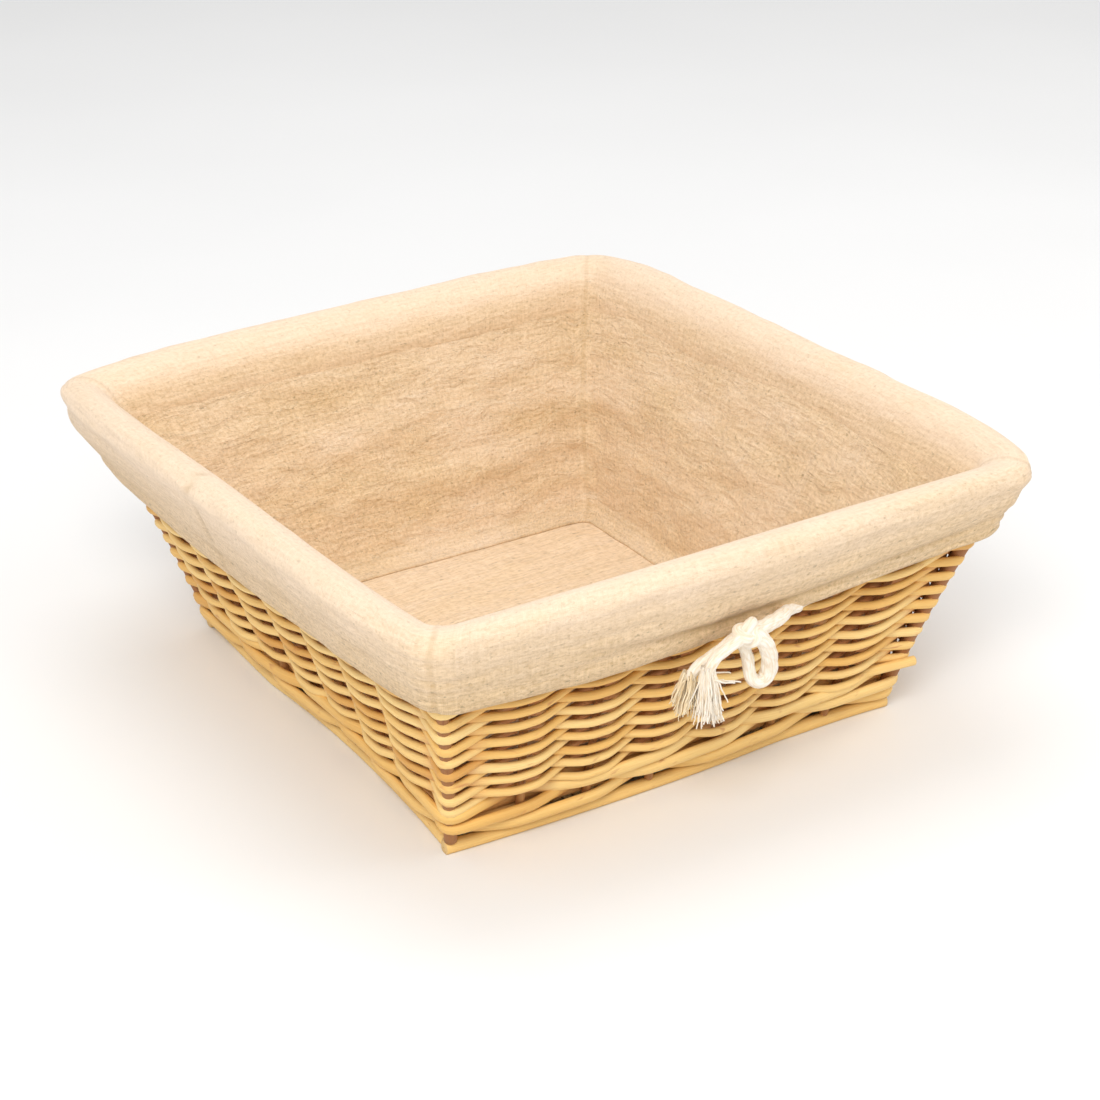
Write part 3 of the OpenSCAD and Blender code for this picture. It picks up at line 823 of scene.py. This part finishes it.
# ------------------------ liner
def around(straight=84, arc=15):
    """One trip round a rounded rectangle, a row for each column of cloth: its corner centre, its direction,
    its wall, and its part: -1 to 1 along the wall, then up to 2 round the corner."""
    out = []
    for i in range(4):
        c, n = TURN[i]
        for f in np.linspace(-1, 1, straight, endpoint=False):
            out.append((f * c + n, f * n - c, n, -c, i, f))
        c2, n2 = TURN[(i + 1) % 4]
        for a in np.linspace(0, math.pi / 2, arc, endpoint=False):
            nx, ny = n * math.cos(a) + n2 * math.sin(a), -c * math.cos(a) - c2 * math.sin(a)
            out.append((c + n, n - c, nx, ny, i, 1 + a / (math.pi / 2)))
    return np.array(out, float).T


CX, CY, NX, NY, WALL, PART = around()
COLS = len(CX)
LOOSE = -8.2                         # the inner walls' offset from the woven walls' middle
CREST = 149.2
HEM_HALF = 100.0                     # height at which the tables' s is measured


def cloth_points(o, z):
    """Points of the cloth at offset o and height z, arrays of rows by columns."""
    rc = 9.5 + 0.24 * (o + 9)
    x = AX + KX * z + o / math.cos(TILT[1])
    y = AY + KY * z + o / math.cos(TILT[0])
    return np.stack([CX * (x - rc) + rc * NX, CY * (y - rc) + rc * NY, z], -1)


def along_ring():
    p = cloth_points(np.zeros((1, COLS)), np.full((1, COLS), 120.0))[0]
    step = np.linalg.norm(np.roll(p, -1, 0) - p, axis=1)
    return np.concatenate([[0], np.cumsum(step)[:-1]]), float(step.sum())


RUN, ROUND = along_ring()


def columns(values, rows):
    """Values round the basket as a grid."""
    return np.repeat(values[None, :], rows, 0)


def levels(values):
    """Values up the cloth as a grid."""
    return np.repeat(np.asarray(values, float)[:, None], COLS, 1)


def hill(x, width):
    return np.exp(-(x / width) ** 2)


def corner_line(width):
    """A narrow line down the middle of each rounded corner."""
    return hill(np.where(PART > 1, PART - 1.5, 9), width)[None, :]


def along_wall(i, z):
    """s along wall i at height z, and far away on the other walls."""
    return np.where(WALL == i, PART, 9) * half(i, z)


def sheet_normals(mid, closed):
    dv = np.gradient(mid, axis=0)
    if closed:
        return unit(np.cross((np.roll(mid, -1, 1) - np.roll(mid, 1, 1)) / 2, dv))
    return unit(np.cross(np.gradient(mid, axis=1), dv))


def sheet_mesh(name, mid, thick, seam_and_shade, shade, crumple, closed=True):
    """A thin sheet with two faces and edges, about the grid mid. closed goes all the way round the basket."""
    mid = settle(mid)
    rows, cols = mid.shape[:2]
    h = np.asarray(thick, float) / 2
    shift = sheet_normals(mid, closed) * (h[..., None] if h.ndim else h)
    verts = np.concatenate([(mid + shift).reshape(-1, 3), (mid - shift).reshape(-1, 3)])
    other = rows * cols
    step = np.linalg.norm(np.diff(mid, axis=0), axis=2)
    v = np.vstack([np.zeros(cols), np.cumsum(step, axis=0)]) * MM
    u = (np.append(RUN, ROUND) if closed else np.arange(cols) * np.linalg.norm(mid[0, 1] - mid[0, 0])) * MM
    wide = cols if closed else cols - 1
    faces, uv = [], []

    def face(corners, places, flip):
        faces.append(corners[::-1] if flip else corners)
        uv.extend(places[::-1] if flip else places)

    def point(r, c):
        return r * cols + c % cols, (u[c], v[r, c % cols])

    def edge(start, end, du, dv, flip):
        (a, (ua, va)), (b, (ub, vb)) = point(*start), point(*end)
        face((a, b, b + other, a + other), ((ua, va), (ub, vb), (ub + du, vb + dv), (ua + du, va + dv)), flip)

    for r in range(rows - 1):
        for c in range(wide):
            q, t = zip(point(r, c), point(r, c + 1), point(r + 1, c + 1), point(r + 1, c))
            face(q, t, False)
            face(tuple(k + other for k in q), t, True)
    for r, flip in ((0, True), (rows - 1, False)):
        for c in range(wide):
            edge((r, c), (r, c + 1), 0, MM, flip)
    for c, flip in (() if closed else ((0, False), (cols - 1, True))):
        for r in range(rows - 1):
            edge((r, c), (r + 1, c), MM, 0, flip)
    marks = {"seam_and_shade": seam_and_shade, "shade": shade, "crumple": crumple}
    marks = {key: np.tile(np.broadcast_to(value, (rows, cols)).ravel(), 2) for key, value in marks.items()}
    return piece(name, verts, faces, "liner", [CLOTH], marks, uv=uv)


def wall_value(tables):
    """A value round the basket from (s, value) pairs for each wall, smoothed over the corners."""
    out = np.zeros(COLS)
    for k in range(COLS):
        i, later = int(WALL[k]), (int(WALL[k]) + 1) % 4
        value = np.interp(min(PART[k], 1.0) * half(i, HEM_HALF), *zip(*tables[i]))
        if PART[k] > 1:
            after = np.interp(-half(later, HEM_HALF), *zip(*tables[later]))
            value = value + (after - value) * (PART[k] - 1)
        out[k] = value
    pad = np.concatenate([out[-12:], out, out[:12]])
    return np.convolve(pad, np.hanning(27)[1:-1] / np.hanning(27).sum(), "valid")


# the turned-down edge as it hangs: the hem's height, the crease above the hem, and the crease's depth, which
# also sets the crease's painted shade
HEM = wall_value([
    [(-165, 104.5), (-142, 101), (-123, 99.2), (-101, 97.4), (-54, 96.0), (-12, 97.8), (18, 98.6),
     (39, 100.8), (97, 105.6), (143, 108.6), (165, 109.5)],
    [(-180, 109), (-120, 101), (-40, 95.5), (60, 95), (130, 99), (180, 103)],
    [(-165, 103.5), (-110, 98), (-20, 94.5), (70, 95), (165, 96)],
    [(-180, 94), (-115, 90.5), (-50, 88.5), (18, 90.5), (60, 94.5), (93, 97.4), (124, 99.6), (155, 103.6),
     (180, 106)],
])
CREASE = wall_value([
    [(-165, 22), (-115, 23), (-82, 21), (-48, 14), (-10, 11.0), (36, 10.5), (75, 11), (117, 11.5),
     (142, 12.5), (165, 13)],
    [(-180, 14), (0, 16), (180, 16)],
    [(-165, 15), (0, 16), (165, 16)],
    [(-180, 16), (0, 18), (180, 21)],
])
GROOVE = wall_value([
    [(-165, 0.15), (-115, 0.3), (-70, 0.8), (-30, 1.5), (-12, 2.1), (8, 2.1), (40, 1.3), (110, 1.0),
     (165, 0.5)],
    [(-180, 0.4), (-60, 0.7), (180, 0.7)],
    [(-165, 0.7), (165, 0.7)],
    [(-180, 0.5), (0, 0.3), (180, 0.15)],
])


def inner_walls():
    """From the seam at the base, round a soft turn and up to just under the roll, rumpled."""
    turn_r, seam_z, top_z, turn_rows, rows = 7.0, 13.9, 134.5, 12, 52
    line = []
    for t in np.linspace(0, 1, turn_rows, endpoint=False):
        a = t * math.pi / 2
        o = LOOSE - turn_r + turn_r * math.sin(a) - 6.0 * (1 - t) ** 2
        line.append((o, seam_z + turn_r - turn_r * math.cos(a)))
    for t in np.linspace(0, 1, rows - turn_rows):
        line.append((LOOSE, seam_z + turn_r + t * (top_z - seam_z - turn_r)))
    o, z = [levels(q) for q in zip(*line)]
    level = levels(np.linspace(0, 1, rows))
    x = columns(RUN / ROUND, rows)
    fold = 1.3 * wave(x * 22, z / 17, 1, 22) + 0.85 * wave(x * 46, z / 9, 2, 46)
    fold = fold + 0.6 * wave(x * 90, z / 5, 3, 90)
    fold += 0.9 * (1 - np.abs(wave(x * 30, z / 22 + x * 6, 4, 30)) * 2.2).clip(0, 1) ** 2
    from_corner = np.where(PART > 0, 1 - PART, 1 + PART) * 9 + 0.5
    near_corner = hill(np.abs(np.where(PART > 1, PART - 1.5, from_corner)), 0.9)
    inward = np.clip(1.35 * fold + 1.2, 0, 9) * np.sin(math.pi * held(level * 0.92 + 0.05)) ** 0.6
    inward = inward * (0.75 + 0.8 * near_corner[None, :]) * (1 - 0.9 * held((level - 0.93) / 0.07))
    seam_and_shade = corner_line(0.07)
    grid = cloth_points(o - inward - 0.8 * seam_and_shade * held(level * 6), z)
    seams_and_shade = held(seam_and_shade * 0.5 + hill(z - 17.5, 0.9) * 0.3)
    shade = 0.5 + 0.25 * wave(x * 30, z / 12, 6, 30)
    return sheet_mesh("liner_walls_cloth", grid, 1.2, seams_and_shade, shade, 1.0)


def base_panel():
    """A rounded rectangle on the base, a little slack."""
    half_x, half_y, corner, z = 121.0, 121.5, 15.0, 12.75
    gx, gy = np.meshgrid(np.linspace(-1, 1, 90), np.linspace(-1, 1, 92))
    px, py = gx * half_x, gy * half_y
    in_x, in_y = half_x - corner, half_y - corner
    qx, qy = np.clip(np.abs(px) - in_x, 0, None), np.clip(np.abs(py) - in_y, 0, None)
    both = (qx > 0) & (qy > 0)
    scale = np.where(both, np.maximum(qx, qy) / np.maximum(np.hypot(qx, qy), 1e-6), 1)
    px = np.where(both, np.sign(px) * (in_x + qx * scale), px)
    py = np.where(both, np.sign(py) * (in_y + qy * scale), py)
    edge = np.minimum(1 - np.abs(gx), 1 - np.abs(gy))
    puff = 0.9 * wave(px / 34, py / 30, 5) + 0.5 * wave(px / 15, py / 60, 6)
    puff = puff + 0.35 * wave(px / 60, py / 11, 7)
    pz = z + np.clip(puff + 0.6, 0, 5) * held(edge * 9 - 0.6)
    return sheet_mesh("liner_base_cloth", np.stack([px, py, pz], -1), 1.1, 0.0, 0.4, 0.7, closed=False)


def cuff_profile():
    """Offset and height: up inside, over the border as a soft roll, down outside, tucked in at the hem."""
    line = [(LOOSE, 121.5), (-9.2, 125.5), (-10.1, 130.5), (-10.1, 136.0)]
    roll = map(turned, (168, 148, 124, 100, 80, 58, 36, 14, -8))
    line += [(0.6 + 10.3 * c, 139.5 + 9.7 * s) for c, s in roll]
    line += [(11.2, 133.0), (11.4, 127.0), (11.4, 120.5), (11.3, 114.0), (11.2, 108.0), (11.2, 103.0)]
    line += [(10.8, 99.0), (9.8, 96.6), (8.5, 95.8), (7.4, 96.8), (7.2, 100.5), (7.4, 105.5)]
    return smooth_line(line, 1.55)


def turned_edge():
    """The cuff: hung to the hem's line, creased over its casing, gathered at the knot, seamed and rumpled."""
    prof = cuff_profile()
    rows, lowest, fold_row = len(prof), prof[:, 1].min(), np.argmin(prof[:, 1])
    row = np.arange(rows)[:, None]
    hem, crease, deep, knot_side = HEM[None, :], CREASE[None, :], GROOVE[None, :], KNOT_SIDE[None, :]
    o, z0 = levels(prof[:, 0]), levels(prof[:, 1])
    outer = levels(np.arange(rows) > rows * 0.35) > 0
    on_top = z0 > 139
    z = np.where(outer & (z0 < 131), hem + (z0 - lowest) * (131 - hem) / (131 - lowest), z0)
    x = columns(RUN / ROUND, rows)
    v = levels(np.concatenate([[0], np.cumsum(np.linalg.norm(np.diff(prof, axis=0), axis=1))]))
    visible = held((fold_row + 3 - row) / 6)
    shown = outer * visible
    above = z - hem
    groove = hill(above - crease, 2.6) * deep * shown
    casing = hill(above - crease * 0.45, crease * 0.42) * shown
    press = 0.6 * wave(x * 26, v / 9, 8, 26) + 0.5 * wave(x * 60, v / 5, 9, 60)
    press = press + 0.34 * wave(x * 130, v / 3.2, 10, 130)
    slack = 0.7 * wave(x * 14, v / 30, 11, 14)
    pleat = wave(x * 105, v / 34, 12, 105) + 0.6 * wave(x * 210, v / 25, 13, 210)
    gather = pleat * (0.34 + 1.1 * knot_side) * (held(1 - np.abs(above - crease * 0.8) / 22) * outer)
    cross_seam = hill(along_wall(3, WOVEN_TOP) + 24.0 + 6.0 * np.sin(v / 13), 1.5)
    seam_and_shade = held(corner_line(0.05) * 0.75 + cross_seam)
    back_left = RUN[(WALL == 2) & (PART > 1.4)][0]
    apart = np.abs((RUN - back_left + ROUND / 2) % ROUND - ROUND / 2)[None, :]
    flare = 3.0 * hill(apart, 60) * hill(z - 122, 16) * outer * visible
    under_crease = held((crease - above) / 5) * deep * shown
    o = o + (press * (0.5 + 0.5 * outer) + slack + gather) * np.where(outer, visible, 1.0) - 1.5 * groove
    o = o - 0.85 * under_crease + flare + 0.5 * casing * held(deep) - 0.9 * seam_and_shade * visible
    shade = held(0.15 + 0.85 * (1 - (z - hem) / 42)) * outer
    shade = shade + (1 - outer) * np.clip((141 - z) / 18, 0, 0.45)
    z = np.minimum(z + np.where(on_top, 0.35 * press - 0.3, 0) - 0.5 * cross_seam * on_top, CREST)
    thick = (1.25 + 0.4 * hill(above, 6)) * np.clip((row + 1) / 4, 0.3, 1)
    # painted shade: the crease's groove and a line just above the hem darken the cloth, mixed in with the
    # real seams
    seams_and_shade = seam_and_shade * 0.7 + groove * (0.45 + 0.45 * knot_side) + hill(above - 1.2, 1.2) * 0.35 * outer
    seams_and_shade = held(seams_and_shade)
    return sheet_mesh("liner_cuff_cloth", cloth_points(o, z), thick, seams_and_shade, shade, 0.3)


def casing_run():
    """The drawstring inside its casing, squeezed flat, open at the front where its two ends come out."""
    right_end, left_end, exit_z = 38.0, 0.0, 101.5
    from_exit = held((np.abs(along_wall(0, HEM_HALF) - 12.0) - 26.0) / 30)
    z = exit_z + (HEM + 4.4 - exit_z) * from_exit
    line = cloth_points((9.0 - 0.6 * GROOVE)[None, :], z[None, :])[0]
    front = (WALL == 0) & (PART <= 1)
    start, stop = [np.argmin(np.where(front, np.abs(line[:, 0] - x), 9e9)) for x in (right_end, left_end)]
    order = [(start + k) % COLS for k in range((stop - start) % COLS + 1)]
    p = smooth_line(line[order], 2.2)
    rods = Rods()
    rods.add(p, every(UP, p), 2.3, 1.1, sides=14, seed=950, lobes=3, pitch=15.0, groove=0.16)
    return rods.make("drawstring_casing_run", "liner", "cotton_cord", [CORD])


KNOT_SIDE = hill(along_wall(0, HEM_HALF) - 2, 40.0)
liner_walls = inner_walls()
liner_base = base_panel()
liner_cuff = turned_edge()
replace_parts(liner_walls, *[f"liner_wall_{w}" for w in WALLS])
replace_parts(liner_base, "liner_base")
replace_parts(liner_cuff, *[f"cuff_{w}" for w in WALLS])
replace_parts(casing_run(), "drawstring_in_casing")


# ------------------------ floor and light
def white_floor():
    mesh = bpy.data.meshes.new("floor")
    mesh.from_pydata([(-6, -6, 0), (6, -6, 0), (6, 6, 0), (-6, 6, 0)], [], [(0, 1, 2, 3)])
    k = Nodes("floor_white", 0.9, 0.1)
    cloud = k.noise(k.node("TexCoord", "Object", {}), (3, 3, 3))
    greys = [(at, (grey, grey, grey, 1)) for at, grey in ((0.3, 0.86), (0.7, 0.88))]
    mesh.materials.append(k.finish(k.ramp(cloud, *greys)))
    floor = bpy.data.objects.new("floor", mesh)
    scene.collection.objects.link(floor)


def area_light(name, at, aim, size, power, colour):
    data = bpy.data.lights.new(name, "AREA")
    data.shape, data.size, data.energy, data.color = "SQUARE", size, power, colour
    lamp = bpy.data.objects.new(name, data)
    lamp.location = at
    lamp.rotation_euler = (Vector(aim) - Vector(at)).to_track_quat("-Z", "Y").to_euler()
    scene.collection.objects.link(lamp)


white_floor()
area_light("key", (-1.15, -1.3, 1.7), (0, 0, 0.08), 1.0, 30, (1, 0.985, 0.96))
area_light("fill", (1.6, -0.9, 1.1), (0, 0, 0.08), 1.6, 9, (1, 0.99, 0.97))
area_light("top", (0.1, 0.5, 2.1), (0, 0, 0.05), 1.4, 12.5, (1, 1, 1))
scene.world = bpy.data.worlds.new("world")
scene.world.use_nodes = True
sky = scene.world.node_tree.nodes["Background"].inputs
sky["Color"].default_value, sky["Strength"].default_value = (1, 1, 1, 1), 0.62
scene.view_settings.view_transform = "Standard"
